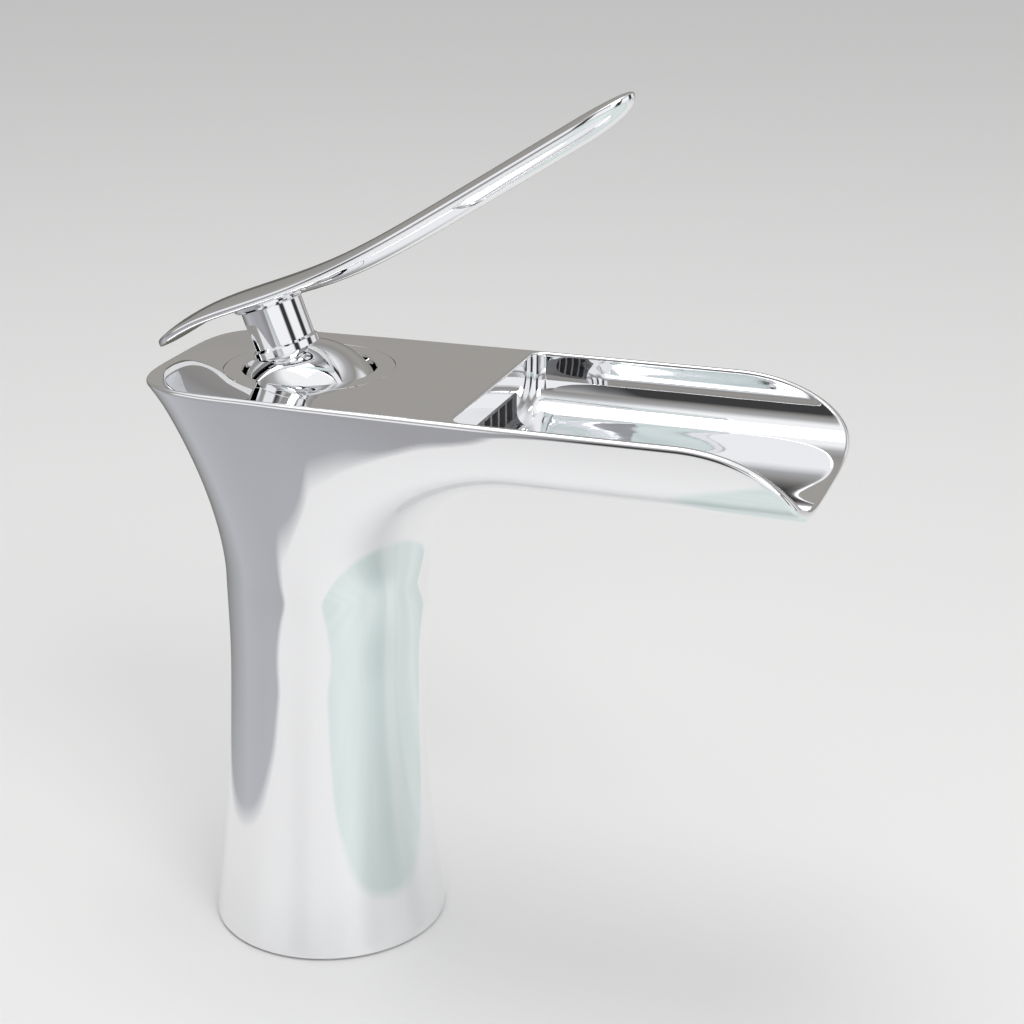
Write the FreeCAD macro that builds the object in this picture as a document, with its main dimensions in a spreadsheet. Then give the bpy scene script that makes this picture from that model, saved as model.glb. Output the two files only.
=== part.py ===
import FreeCAD, Part
import functools
import math
import os
import re

import Sketcher
from FreeCAD import Placement, Rotation, Vector

# Single-lever waterfall basin tap on one deck hole.
# +Z is up, +X runs along the spout and Y=0 is the plane of symmetry.
# The origin is the centre of the round base on the counter. The lever is drawn fully raised.

os.makedirs("parts", exist_ok=True)
doc = FreeCAD.newDocument("waterfall_basin_tap")
sheet = doc.addObject("Spreadsheet::Sheet", "Sizes")

SIZES = {
    # cast body: round column that grows into a flat deck and an open trough
    "base_radius": 25.0,
    "waist_radius": 20.2,
    "waist_height": 60.0,
    "waist_power": 1.8,
    "neck_radius": 20.9,
    "neck_lean": 1.6,
    "deck_height": 121.8,
    "deck_rear": 29.8,
    "deck_half_width": 25.6,
    "flare_power": 2.1,
    "corner_power": 4.0,
    "throat_radius": 28.0,
    "spout_half_width": 26.6,
    "spout_tall": 14.8,
    "spout_power": 4.2,
    "tip_start": 80.8,
    "tip_length": 24.0,
    "trough_back": 38.0,
    "trough_wall": 1.8,
    "trough_corner": 3.0,
    # water ways and sockets inside the body
    "cartridge_x": -1.0,
    "cartridge_gap": 0.2,
    "thread_gap": 0.05,
    "bezel_bore_spare": 3.0,
    "nut_bore_spare": 2.9,
    "bezel_recess_deep": 1.2,
    "foot_cavity_radius": 20.0,
    "foot_cavity_deep": 10.0,
    "gasket_outer": 23.6,
    "gasket_thick": 2.2,
    "base_gap": 0.3,
    "inlet_radius": 4.5,
    "inlet_deep": 14.0,
    "inlet_x": -5.0,
    "inlet_half_pitch": 8.5,
    "channel_radius": 2.8,
    "port_offset": 5.4,
    "outlet_port_radius": 3.2,
    "riser_drop": 6.0,
    "riser_x": 16.0,
    "riser_top_x": 27.5,
    "outlet_half_width": 14.0,
    "outlet_tall": 7.0,
    "outlet_sill": 0.7,
    "outlet_back": 26.0,
    # under-counter fixing
    "stud_x": 12.0,
    "stud_radius": 4.0,
    "stud_top": 24.0,
    "stud_bottom": -52.0,
    "clamp_level": -25.0,
    "clamp_radius": 23.0,
    "clamp_gasket_thick": 3.0,
    "clamp_plate_thick": 2.0,
    "clamp_web": 5.0,
    "hose_gap": 1.0,
    "nut_flats": 13.0,
    "nut_tall": 8.0,
    # bezel ring and cartridge nut
    "bezel_lip_thick": 2.0,
    "bezel_wall": 1.35,
    "bezel_flange": 0.25,
    "bezel_tall": 13.6,
    "ball_skirt_gap": 0.3,
    "ball_lip_gap": 0.5,
    "nut_ring_outer": 13.95,
    "nut_ring_tall": 3.6,
    # cartridge, from its seals upwards
    "cartridge_radius": 12.4,
    "floor_thick": 3.0,
    "seal_thick": 0.8,
    "seal_wall": 1.1,
    "floor_rim": 1.5,
    "fixed_disc_radius": 11.0,
    "fixed_disc_thick": 2.4,
    "moving_disc_radius": 8.2,
    "moving_disc_thick": 2.2,
    "moving_cavity_radius": 5.0,
    "moving_cavity_deep": 1.3,
    "carrier_thick": 4.2,
    "running_gap": 0.03,
    "housing_wall": 1.3,
    "chamber_tall": 14.6,
    "housing_roof": 1.8,
    "housing_neck_tall": 5.0,
    "housing_neck_wall": 1.5,
    "rotor_gap": 0.05,
    "neck_outer": 10.2,
    "rotor_flange_radius": 11.0,
    "rotor_flange_thick": 1.6,
    "rotor_above_pivot": 3.2,
    "rotor_slot_half": 3.05,
    "rotor_slot_rear": 4.7,
    "rotor_slot_front": 7.0,
    # lever group, in its own upright frame about the pivot
    "pivot_depth": 9.8,
    "pivot_above_seat": 26.0,
    "lever_lift": 20.0,
    "ball_radius": 15.3,
    "ball_bore_radius": 12.8,
    "ball_bore_deep": 7.0,
    "ball_skirt_angle": -2.0,
    "pin_radius": 1.5,
    "pin_half_length": 8.2,
    "spindle_half": 3.0,
    "arm_length": 15.4,
    "arm_radius": 1.4,
    "arm_ball": 1.9,
    "arm_ball_gap": 0.08,
    "stem_radius": 6.25,
    "stem_bead_radius": 6.75,
    "stem_collar_radius": 7.4,
    "spigot_radius": 4.6,
    "screw_radius": 2.0,
    "screw_length": 2.9,
    # lever blade
    "blade_rear": -25.0,
    "blade_tip": 85.2,
    "blade_half_width": 10.6,
    "blade_front_half_width": 6.6,
    "blade_crown": 0.9,
    "blade_belly": 0.4,
    "blade_front_belly": 2.7,
    "blade_belly_x": 9.0,
    "blade_belly_soft": 7.0,
    "blade_rim": 1.5,
    "blade_height": 25.7,
    "blade_slope": 0.218,
    "blade_bend_x": 17.0,
    "blade_bend_soft": 7.0,
    "blade_droop_slope": 0.3,
    "blade_droop_x": -14.0,
    "blade_droop_soft": 3.0,
    "blade_narrow_x": 20.0,
    "blade_narrow_soft": 14.0,
    "blade_rear_round": 9.0,
    "blade_tip_round": 12.0,
}

# what seats in or on something else takes its size and place from it
FITS = {
    "neck_height": "deck_height - spout_tall - throat_radius",
    "spout_depth": "spout_tall + 0.4",
    "tip_drop": "spout_tall",
    "trough_floor": "neck_height + throat_radius + trough_wall",
    "outlet_z": "trough_floor + outlet_sill + outlet_tall / 2",
    "gasket_inner": "foot_cavity_radius + 0.6",
    "clamp_slot_half": "inlet_half_pitch + inlet_radius + hose_gap",
    # levels hang from the deck, so that the ball stays in its ring
    "pivot_height": "deck_height - pivot_depth",
    "seat_height": "pivot_height - pivot_above_seat",
    "riser_low": "seat_height - riser_drop",
    "ceiling_height": "seat_height + chamber_tall",
    "shoulder_height": "ceiling_height + housing_roof",
    "housing_top": "shoulder_height + housing_neck_tall",
    "rotor_top": "pivot_height + rotor_above_pivot",
    "nut_bore_from": "shoulder_height - nut_bore_spare",
    "bezel_skirt_bottom": "deck_height - bezel_tall",
    "bezel_bore_from": "bezel_skirt_bottom - bezel_bore_spare",
    # rings and bores, from the ball and the cartridge outwards
    "bezel_skirt_inner": "ball_radius + ball_skirt_gap",
    "bezel_skirt_outer": "bezel_skirt_inner + bezel_wall",
    "bezel_radius": "bezel_skirt_outer + bezel_flange",
    "bezel_lip_level": "pivot_depth - bezel_lip_thick + 0.6",
    "bezel_opening": "sqrt( ball_radius ^ 2 - bezel_lip_level ^ 2 ) + ball_lip_gap",
    "bezel_bore": "bezel_skirt_outer + thread_gap",
    "bezel_recess": "bezel_radius + thread_gap",
    "nut_bore": "nut_ring_outer + thread_gap",
    "nut_ring_inner": "neck_outer + 0.3",
    "cartridge_bore": "cartridge_radius + cartridge_gap",
    "neck_inner": "neck_outer - housing_neck_wall",
    "rotor_radius": "neck_inner - rotor_gap",
    # the stem stands on the ball and ends inside the blade
    "stem_bead_top": "ball_radius + 0.3",
    "spigot_bottom": "ball_radius - 3.1",
    "stem_collar_from": "blade_height - 2.1",
    "stem_top": "blade_height + 0.9",
    "spindle_top": "blade_height - 4.2",
    "screw_height": "blade_height - 6.7",
}

for row, (alias, value) in enumerate(SIZES.items(), start=1):
    sheet.set(f"A{row}", alias)
    sheet.set(f"B{row}", str(value))
    sheet.setAlias(f"B{row}", alias)
doc.recompute()


def named(expression):
    """Writes out the fits and turns bare aliases into references to the sheet."""

    def written(word):
        if word[0] in FITS:
            return f"( {named(FITS[word[0]])} )"
        return f"Sizes.{word[0]}" if word[0] in SIZES else word[0]

    return re.sub(r"[a-z_]+[a-z0-9_]*", written, expression)


def worth(expression):
    return float(sheet.evalExpression(named(expression)))


@functools.cache
def size(name):
    return worth(name)


def bind(item, prop, expression):
    item.setExpression(prop, named(expression))


def plane_of(body, role):
    for feature in body.Origin.OriginFeatures:
        if feature.Role == role:
            return feature
    raise ValueError(role)


def place_sketch(body, sketch, role, height="0"):
    sketch.AttachmentSupport = [(plane_of(body, role), "")]
    sketch.MapMode = "FlatFace"
    bind(sketch, "AttachmentOffset.Base.z", height)


def polygon_sketch(body, name, role, corners, height="0"):
    """Closed outline; every corner's two coordinates are expressions of the sheet."""
    sketch = body.newObject("Sketcher::SketchObject", name)
    place_sketch(body, sketch, role, height)
    points = [Vector(worth(x), worth(y), 0) for x, y in corners]
    count = len(points)
    for i in range(count):
        sketch.addGeometry(Part.LineSegment(points[i], points[(i + 1) % count]), False)
    for i in range(count):
        sketch.addConstraint(Sketcher.Constraint("Coincident", i, 2, (i + 1) % count, 1))
    for i, (x, y) in enumerate(corners):
        for kind, axis, expression in (("DistanceX", "x", x), ("DistanceY", "y", y)):
            number = sketch.addConstraint(
                Sketcher.Constraint(kind, -1, 1, i, 1, worth(expression))
            )
            label = f"{axis}{i}"
            sketch.renameConstraint(number, label)
            bind(sketch, f"Constraints.{label}", expression)
    return sketch


def turned(label, corners, axis_x="cartridge_x", base_z="0"):
    """Piece of revolution: the outline (radius, height) turned about its own upright axis."""
    body = doc.addObject("PartDesign::Body", label)
    sketch = polygon_sketch(body, f"{label}_outline", "XZ_Plane", corners)
    spin = body.newObject("PartDesign::Revolution", f"{label}_turn")
    spin.Profile = sketch
    spin.ReferenceAxis = (sketch, ["V_Axis"])
    spin.Angle = 360
    body.Tip = spin
    bind(body, "Placement.Base.x", axis_x)
    bind(body, "Placement.Base.z", base_z)
    doc.recompute()
    return body


def circle_sketch(body, name, circles, height):
    """Sketch of round holes: (x, y, radius) expressions in a level plane."""
    sketch = body.newObject("Sketcher::SketchObject", name)
    place_sketch(body, sketch, "XY_Plane", height)
    for i, (x, y, radius) in enumerate(circles):
        centre = Vector(worth(x), worth(y), 0)
        sketch.addGeometry(Part.Circle(centre, Vector(0, 0, 1), worth(radius)), False)
        for kind, axis, expression in (("DistanceX", "x", x), ("DistanceY", "y", y)):
            number = sketch.addConstraint(
                Sketcher.Constraint(kind, -1, 1, i, 3, worth(expression))
            )
            sketch.renameConstraint(number, f"{axis}{i}")
            bind(sketch, f"Constraints.{axis}{i}", expression)
        number = sketch.addConstraint(Sketcher.Constraint("Radius", i, worth(radius)))
        sketch.renameConstraint(number, f"radius{i}")
        bind(sketch, f"Constraints.radius{i}", radius)
    return sketch


def pocket(body, name, sketch, depth):
    """Cuts a sketch downwards and makes sure that it removed something."""
    before = body.Shape.Volume
    cut = body.newObject("PartDesign::Pocket", name)
    cut.Profile = sketch
    bind(cut, "Length", depth)
    doc.recompute()
    if cut.Shape.Volume > before - 1e-3:
        raise ValueError(f"{name} cuts nothing")
    body.Tip = cut
    return cut


def pad(body, name, sketch, length):
    """Raises a sketch upwards by a bound length."""
    raised = body.newObject("PartDesign::Pad", name)
    raised.Profile = sketch
    bind(raised, "Length", length)
    body.Tip = raised
    doc.recompute()
    return raised


def cylinder(name, radius, length, x, y, z, tilt="0", tilt_axis=Vector(0, 1, 0)):
    """Part cylinder with bound sizes; it leans by tilt degrees about tilt_axis."""
    item = doc.addObject("Part::Cylinder", name)
    item.Placement = Placement(Vector(0, 0, 0), Rotation(tilt_axis, 1))
    bind(item, "Radius", radius)
    bind(item, "Height", length)
    bind(item, "Placement.Base.x", x)
    bind(item, "Placement.Base.y", y)
    bind(item, "Placement.Base.z", z)
    bind(item, "Placement.Rotation.Angle", tilt)
    return item


def box(name, lengths, corner):
    item = doc.addObject("Part::Box", name)
    for prop, expression in zip(("Length", "Width", "Height"), lengths):
        bind(item, prop, expression)
    for axis, expression in zip("xyz", corner):
        bind(item, f"Placement.Base.{axis}", expression)
    return item


def cut_from(label, base, tools):
    """Label = base minus all tools."""
    cutters = tools[0]
    if len(tools) > 1:
        cutters = doc.addObject("Part::MultiFuse", f"{label}_tools")
        cutters.Shapes = tools
    result = doc.addObject("Part::Cut", label)
    result.Base = base
    result.Tool = cutters
    doc.recompute()
    return result


def lean_back(item):
    """Puts a piece of the lever group on the pivot, leaning back by the lift angle."""
    item.Placement = Placement(Vector(0, 0, 0), Rotation(Vector(0, -1, 0), 1))
    bind(item, "Placement.Base.x", "cartridge_x")
    bind(item, "Placement.Base.z", "pivot_height")
    bind(item, "Placement.Rotation.Angle", "lever_lift")
    doc.recompute()
    return item


# ---- cast body -----------------------------------------------------------------------

OVERLAP = 2
SKIN_BREAKS = (7, 9, 12, 15)
CROWN = 10.0


def superellipse(distance, reach, power):
    """1 in the middle, falling to 0 at distance = reach."""
    ratio = min(max(distance / reach, 0.0), 1.0)
    return (1.0 - ratio**power) ** (1.0 / power)


def column_radius(z):
    waist = size("waist_height")
    if z < waist:
        grown = size("base_radius") - size("waist_radius")
        return size("waist_radius") + grown * (1.0 - z / waist) ** size("waist_power")
    rise = (z - waist) / (size("neck_height") - waist)
    return size("waist_radius") + (size("neck_radius") - size("waist_radius")) * rise**2


def throat_x():
    """The concave throat between column and spout is an arc about (throat_x, neck_height)."""
    return size("neck_lean") + size("neck_radius") + size("throat_radius")


def half_width(x, z):
    """Half the body's width at a point of its side view."""
    neck = size("neck_height")
    lean = size("neck_lean")
    if z <= neck:
        centre = lean * (z / neck) ** 2
        return column_radius(z) * superellipse(abs(x - centre), column_radius(z), 2.0)
    rise = (z - neck) / (size("deck_height") - neck)
    centre = lean * max(1.0 - rise, 0.0)
    rear = size("neck_radius") - lean
    rear += (size("deck_rear") - rear) * rise ** size("flare_power")
    column = size("neck_radius")
    column += (size("deck_half_width") - column) * rise**1.6
    crown = superellipse(z - size("deck_height") - 1.0, CROWN, 2.0)
    if x <= centre:
        power = 2.0 + (size("corner_power") - 2.0) * rise**1.5
        return crown * column * superellipse(centre - x, centre + rear, power)
    if x < throat_x():
        turn = math.sin(math.atan2(z - neck, throat_x() - x)) ** 2
        from_throat = math.hypot(throat_x() - x, z - neck) - size("throat_radius")
    else:
        turn = 1.0
        from_throat = z - neck - size("throat_radius")
    width = column + (size("spout_half_width") - column) * turn
    deep = size("neck_radius") + (size("spout_depth") - size("neck_radius")) * turn
    power = 2.0 + (size("spout_power") - 2.0) * turn
    return crown * width * superellipse(max(deep - from_throat, 0.0), deep, power)


def spread(points, count):
    """The same curve with evenly spaced points."""
    lengths = [0.0]
    for a, b in zip(points, points[1:]):
        lengths.append(lengths[-1] + (b - a).Length)
    even = []
    k = 0
    for i in range(count):
        target = lengths[-1] * i / (count - 1)
        while k < len(points) - 2 and lengths[k + 1] < target:
            k += 1
        part = (target - lengths[k]) / (lengths[k + 1] - lengths[k])
        even.append(points[k] + (points[k + 1] - points[k]) * part)
    return even


def overlapped(side):
    before = [Vector(p.x, -p.y, p.z) for p in reversed(side[1 : 1 + OVERLAP])]
    after = [Vector(p.x, -p.y, p.z) for p in reversed(side[-1 - OVERLAP : -1])]
    return before + side + after


def patched(surface, breaks, low, high):
    """The surface between two of its long lines, as separate faces that end at the breaks."""
    faces = []
    for begin, end in zip(breaks, breaks[1:]):
        patch = surface.copy()
        patch.segment(begin, end, low, high)
        faces.append(patch.toShape())
    return faces


def mirrored_skin(rows):
    """Solid between a smooth surface through half sections and its mirror image in Y=0.

    Every row overlaps its own mirror image by OVERLAP points at both ends, so that the
    surface crosses the plane of symmetry smoothly. The first and last rows are flat ends.
    """
    surface = Part.BSplineSurface()
    surface.interpolate(rows)
    first, last, _, _ = surface.bounds()
    low = surface.parameter(rows[len(rows) // 2][OVERLAP])[1]
    high = surface.parameter(rows[len(rows) // 2][-1 - OVERLAP])[1]
    inner = [surface.parameter(rows[i][OVERLAP])[0] for i in SKIN_BREAKS]
    faces = patched(surface, [first] + inner + [last], low, high)
    faces += [face.mirror(Vector(0, 0, 0), Vector(0, 1, 0)) for face in faces]
    surface.segment(first, last, low, high)
    for row in (first, last):
        rim = surface.uIso(row).toShape()
        mirrored = rim.mirror(Vector(0, 0, 0), Vector(0, 1, 0))
        faces.append(Part.Face(Part.Wire(Part.__sortEdges__([rim, mirrored]))))
    shell = Part.makeShell(faces)
    shell.sewShape(1e-4)
    return Part.makeSolid(shell)


def section_points(start, heading, deep):
    """Half outline in one plane of the skin; it reaches its full width at the depth deep."""
    reach = deep
    ahead = start + heading * reach
    while half_width(ahead.x, ahead.z) > 0:
        reach += 0.02
        ahead = start + heading * reach
    inner = []
    outer = []
    for i in range(301):
        share = i / 300.0
        for trace, along in (
            (inner, deep * share**3),
            (outer, reach - (reach - deep) * (1.0 - share) ** 3),
        ):
            point = start + heading * along
            trace.append(Vector(point.x, half_width(point.x, point.z), point.z))
    inner[0].y = 0.0
    outer[-1].y = 0.0
    return overlapped(spread(inner, 9)[:-1] + spread(outer, 8))


def body_skin():
    """Column, throat and spout in one smooth skin.

    The planes of its sections climb the column and fan about the throat's centre; the
    last section is carried straight on as the spout.
    """
    neck = size("neck_height")
    rows = []
    for level in (0, 12, 24, 36, 48, 60, 70):
        z = neck * level / 79.0
        front = column_radius(z) + size("neck_lean") * (z / neck) ** 2
        rows.append(section_points(Vector(front, 0, z), Vector(-1, 0, 0), column_radius(z)))
    throat = Vector(throat_x(), 0, neck)
    for angle in (0, 8, 15, 21, 26, 31, 37, 45, 54, 63, 72, 81, 90):
        turn = math.radians(angle)
        heading = Vector(-math.cos(turn), 0, math.sin(turn))
        start = throat + heading * size("throat_radius")
        deep = size("spout_depth") - size("neck_radius")
        deep = size("neck_radius") + deep * math.sin(turn) ** 2
        rows.append(section_points(start, heading, deep))
    skin = mirrored_skin(rows)
    spout_end = [face for face in skin.Faces if face.BoundBox.XLength < 1e-6]
    length = size("tip_start") + size("tip_length") + 2.0 - throat.x
    return skin.fuse(spout_end[0].extrude(Vector(length, 0, 0)))


def tip_profile():
    """Everything beyond the rounded ends of the trough's walls, seen from the side."""
    start = size("tip_start")
    top = size("deck_height")
    centre = Vector(start, 0, top - size("tip_drop"))
    points = []
    for i in range(25):
        turn = math.pi / 2 * i / 24.0
        points.append(
            centre + Vector(size("tip_length") * math.sin(turn), 0, size("tip_drop") * math.cos(turn))
        )
    curve = Part.BSplineCurve()
    curve.interpolate(points)
    end = points[-1]
    far = end.x + 20.0
    above = top + 20.0
    around = [(end.x, 0), (far, 0), (far, above), (start, above)]
    corners = [end] + [Vector(x, 0, z) for x, z in around] + [points[0]]
    edges = [curve.toShape()]
    edges += [Part.LineSegment(a, b).toShape() for a, b in zip(corners, corners[1:])]
    face = Part.Face(Part.Wire(edges))
    face.translate(Vector(0, -60, 0))
    return face.extrude(Vector(0, 120, 0))


def trough_space():
    """The open trough: the spout's outline less its wall, from the back wall past the tip."""
    wall = size("trough_wall")
    back = size("trough_back")
    floor = size("trough_floor")
    width = size("spout_half_width") - wall
    deep = size("spout_depth")
    trace = []
    for i in range(401):
        z = floor + (size("deck_height") + 4.0 - floor) * (i / 400.0) ** 2.5
        y = width * superellipse(max(deep - (z - floor), 0.0), deep, size("spout_power"))
        trace.append(Vector(back, y, z))
    side = spread(trace, 11)
    outline = [Vector(p.x, -p.y, p.z) for p in reversed(side[1:])] + side
    curve = Part.BSplineCurve()
    curve.interpolate(Points=outline, Parameters=[float(i) for i in range(len(outline))])
    closing = Part.LineSegment(outline[-1], outline[0])
    mouth = Part.Face(Part.Wire([curve.toShape(), closing.toShape()]))
    space = mouth.extrude(Vector(size("tip_start") + size("tip_length") + 6.0 - back, 0, 0))
    edges = []
    for edge in space.Edges:
        bounds = edge.BoundBox
        if bounds.XMax - back < 1e-3 and bounds.ZLength > 1:
            edges.append(edge)
    return space.makeFillet(size("trough_corner"), edges)


body_form = doc.addObject("Part::Feature", "body_form")
outer = body_skin()
outer = outer.cut(Part.makeBox(400, 200, 100, Vector(-150, -100, size("deck_height"))))
outer = outer.cut(tip_profile())
body_form.Shape = outer.cut(trough_space())
doc.recompute()

# sockets for the cartridge, its nut and the bezel ring, one above the other
AXIS = "cartridge_x"
bores = [
    cylinder("seat_bore", "cartridge_bore", "deck_height - seat_height", AXIS, "0", "seat_height"),
    cylinder("nut_thread", "nut_bore", "deck_height - nut_bore_from", AXIS, "0", "nut_bore_from"),
    cylinder("bezel_thread", "bezel_bore", "deck_height - bezel_bore_from", AXIS, "0", "bezel_bore_from"),
    cylinder("bezel_ledge", "bezel_recess", "bezel_recess_deep", AXIS, "0",
             "deck_height - bezel_recess_deep"),
]

# foot: cavity for the hose ends, groove for the gasket, threads for hoses and stud
gasket_groove = cut_from(
    "gasket_groove",
    cylinder("groove_outer", "gasket_outer", "gasket_thick", "0", "0", "0"),
    [cylinder("groove_inner", "gasket_inner", "gasket_thick", "0", "0", "0")],
)
foot = [
    cylinder("foot_cavity", "foot_cavity_radius", "foot_cavity_deep", "0", "0", "0"),
    gasket_groove,
    cylinder("seating_gap", "base_radius + 5", "base_gap", "0", "0", "0"),
    cylinder("stud_thread", "stud_radius + running_gap", "stud_top", "stud_x", "0", "0"),
]
for side, sign in (("cold", ""), ("hot", "-")):
    foot.append(
        cylinder(
            f"{side}_inlet", "inlet_radius", "inlet_deep + 1", "inlet_x",
            f"{sign}inlet_half_pitch", "foot_cavity_deep - 1",
        )
    )

# water ways: two supply channels up to the seat, one mixed channel up to the trough
LEAN_SUPPLY = "atan( ( inlet_half_pitch - port_offset ) / ( seat_height - foot_cavity_deep - inlet_deep ) )"
supply_long = "( seat_height - foot_cavity_deep - inlet_deep + 2 )"
ways = []
for side, sign, axis in (("cold", "", Vector(1, 0, 0)), ("hot", "-", Vector(-1, 0, 0))):
    ways.append(
        cylinder(
            f"{side}_channel", "channel_radius", supply_long, "inlet_x",
            f"{sign}inlet_half_pitch", "foot_cavity_deep + inlet_deep - 1", LEAN_SUPPLY, axis,
        )
    )
LEAN_RISER = "atan( ( riser_top_x - riser_x ) / ( outlet_z - riser_low ) )"
ways += [
    cylinder("mixed_port", "outlet_port_radius", "seat_height - riser_low + 1",
             "cartridge_x + port_offset", "0", "riser_low"),
    cylinder("mixed_cross", "outlet_port_radius", "riser_x - cartridge_x - port_offset",
             "cartridge_x + port_offset", "0", "riser_low", "90"),
    cylinder("mixed_riser", "outlet_port_radius", f"( outlet_z - riser_low ) / cos( {LEAN_RISER} )",
             "riser_x", "0", "riser_low", LEAN_RISER),
    box("outlet_slot", ("trough_back - outlet_back + 2", "outlet_half_width * 2", "outlet_tall"),
        ("outlet_back", "-outlet_half_width", "outlet_z - outlet_tall / 2")),
]
knuckle = doc.addObject("Part::Sphere", "mixed_knuckle")
bind(knuckle, "Radius", "outlet_port_radius")
bind(knuckle, "Placement.Base.x", "riser_x")
bind(knuckle, "Placement.Base.z", "riser_low")
tap_body = cut_from("tap_body", body_form, bores + foot + ways + [knuckle])

# ---- foot and under-counter fixing ---------------------------------------------------

base_gasket = turned(
    "base_gasket",
    [
        ("gasket_inner + 0.1", "0"),
        ("gasket_outer - 0.1", "0"),
        ("gasket_outer - 0.1", "gasket_thick"),
        ("gasket_inner + 0.1", "gasket_thick"),
    ],
    "0",
)

mounting_stud = turned(
    "mounting_stud",
    [
        ("0", "stud_bottom"),
        ("stud_radius - 0.8", "stud_bottom"),
        ("stud_radius", "stud_bottom + 0.8"),
        ("stud_radius", "stud_top - 0.8"),
        ("stud_radius - 0.8", "stud_top"),
        ("0", "stud_top"),
    ],
    "stud_x",
)


def horseshoe(label, thick, top):
    """Round clamp plate, open to the rear so that it passes the two hoses."""
    body = doc.addObject("PartDesign::Body", label)
    disc = circle_sketch(body, f"{label}_disc", [("0", "0", "clamp_radius")], f"{top} - {thick}")
    pad(body, f"{label}_pad", disc, thick)
    slot = polygon_sketch(
        body,
        f"{label}_slot",
        "XY_Plane",
        [
            ("-clamp_radius - 2", "-clamp_slot_half"),
            ("stud_x - stud_radius - clamp_web", "-clamp_slot_half"),
            ("stud_x - stud_radius - clamp_web", "clamp_slot_half"),
            ("-clamp_radius - 2", "clamp_slot_half"),
        ],
        top,
    )
    pocket(body, f"{label}_opening", slot, thick)
    hole = circle_sketch(body, f"{label}_hole", [("stud_x", "0", "stud_radius + 0.1")], top)
    pocket(body, f"{label}_stud_hole", hole, thick)
    return body


clamp_gasket = horseshoe("clamp_gasket", "clamp_gasket_thick", "clamp_level")
clamp_plate = horseshoe(
    "clamp_plate", "clamp_plate_thick", "( clamp_level - clamp_gasket_thick )"
)


def hex_nut(label, flats, tall, top, hole, x):
    """Hexagon nut with chamfered corners."""
    blank = doc.addObject("Part::Prism", f"{label}_blank")
    blank.Polygon = 6
    bind(blank, "Circumradius", f"{flats} / 2 / cos( 30 )")
    bind(blank, "Height", tall)
    bind(blank, "Placement.Base.x", x)
    bind(blank, "Placement.Base.z", f"{top} - {tall}")
    cone = doc.addObject("Part::Cone", f"{label}_bevel")
    bind(cone, "Radius1", f"{flats} / 2 - 0.3")
    bind(cone, "Radius2", f"{flats} / 2 - 0.3 + {tall} * 2")
    bind(cone, "Height", tall)
    bind(cone, "Placement.Base.x", x)
    bind(cone, "Placement.Base.z", f"{top} - {tall}")
    rounded = doc.addObject("Part::Common", f"{label}_rounded")
    rounded.Base = blank
    rounded.Tool = cone
    doc.recompute()
    return cut_from(label, rounded, [cylinder(f"{label}_hole", hole, tall, x, "0", f"{top} - {tall}")])


stud_nut = hex_nut(
    "stud_nut", "nut_flats", "nut_tall",
    "( clamp_level - clamp_gasket_thick - clamp_plate_thick )", "stud_radius + 0.05", "stud_x",
)

# ---- bezel ring, cartridge nut and outlet insert -------------------------------------

bezel_ring = turned(
    "bezel_ring",
    [
        ("bezel_skirt_inner", "bezel_skirt_bottom"),
        ("bezel_skirt_outer", "bezel_skirt_bottom"),
        ("bezel_skirt_outer", "deck_height - bezel_recess_deep"),
        ("bezel_radius", "deck_height - bezel_recess_deep"),
        ("bezel_radius", "deck_height - 0.15"),
        ("bezel_radius - 0.15", "deck_height"),
        ("bezel_opening + 0.3", "deck_height"),
        ("bezel_opening", "deck_height - 0.3"),
        ("bezel_opening", "deck_height - bezel_lip_thick + 0.6"),
        ("bezel_skirt_inner", "deck_height - bezel_lip_thick - 1.6"),
    ],
)

cartridge_nut = turned(
    "cartridge_nut",
    [
        ("nut_ring_inner", "shoulder_height"),
        ("nut_ring_outer", "shoulder_height"),
        ("nut_ring_outer", "shoulder_height + nut_ring_tall - 1"),
        ("nut_ring_outer - 1", "shoulder_height + nut_ring_tall"),
        ("nut_ring_inner", "shoulder_height + nut_ring_tall"),
    ],
)

# flow spreader: a slotted plastic frame pushed into the outlet behind the trough
insert_body = doc.addObject("PartDesign::Body", "outlet_insert")
frame_sketch = polygon_sketch(
    insert_body,
    "outlet_insert_frame",
    "YZ_Plane",
    [
        ("-outlet_half_width + 0.05", "outlet_z - outlet_tall / 2 + 0.05"),
        ("outlet_half_width - 0.05", "outlet_z - outlet_tall / 2 + 0.05"),
        ("outlet_half_width - 0.05", "outlet_z + outlet_tall / 2 - 0.05"),
        ("-outlet_half_width + 0.05", "outlet_z + outlet_tall / 2 - 0.05"),
    ],
    "trough_back - 6",
)
pad(insert_body, "outlet_insert_pad", frame_sketch, "5.5")
WINDOWS = 6
window = polygon_sketch(
    insert_body,
    "outlet_insert_window",
    "YZ_Plane",
    [
        ("-outlet_half_width + 1.2", "outlet_z - outlet_tall / 2 + 1.2"),
        ("-outlet_half_width + 4.6", "outlet_z - outlet_tall / 2 + 1.2"),
        ("-outlet_half_width + 4.6", "outlet_z + outlet_tall / 2 - 1.2"),
        ("-outlet_half_width + 1.2", "outlet_z + outlet_tall / 2 - 1.2"),
    ],
    "trough_back",
)
first_window = pocket(insert_body, "outlet_insert_pocket", window, "8")
windows = insert_body.newObject("PartDesign::LinearPattern", "outlet_insert_windows")
windows.Originals = [first_window]
windows.Direction = (window, ["H_Axis"])
bind(windows, "Length", "( outlet_half_width * 2 - 5.8 )")
windows.Occurrences = WINDOWS
insert_body.Tip = windows
outlet_insert = insert_body
doc.recompute()

# ---- cartridge, from its floor upwards -----------------------------------------------


def tube(name, outer, inner, length, x, y, z):
    wall = cylinder(f"{name}_wall", outer, length, x, y, z)
    return cut_from(name, wall, [cylinder(f"{name}_hole", inner, length, x, y, z)])


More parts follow.
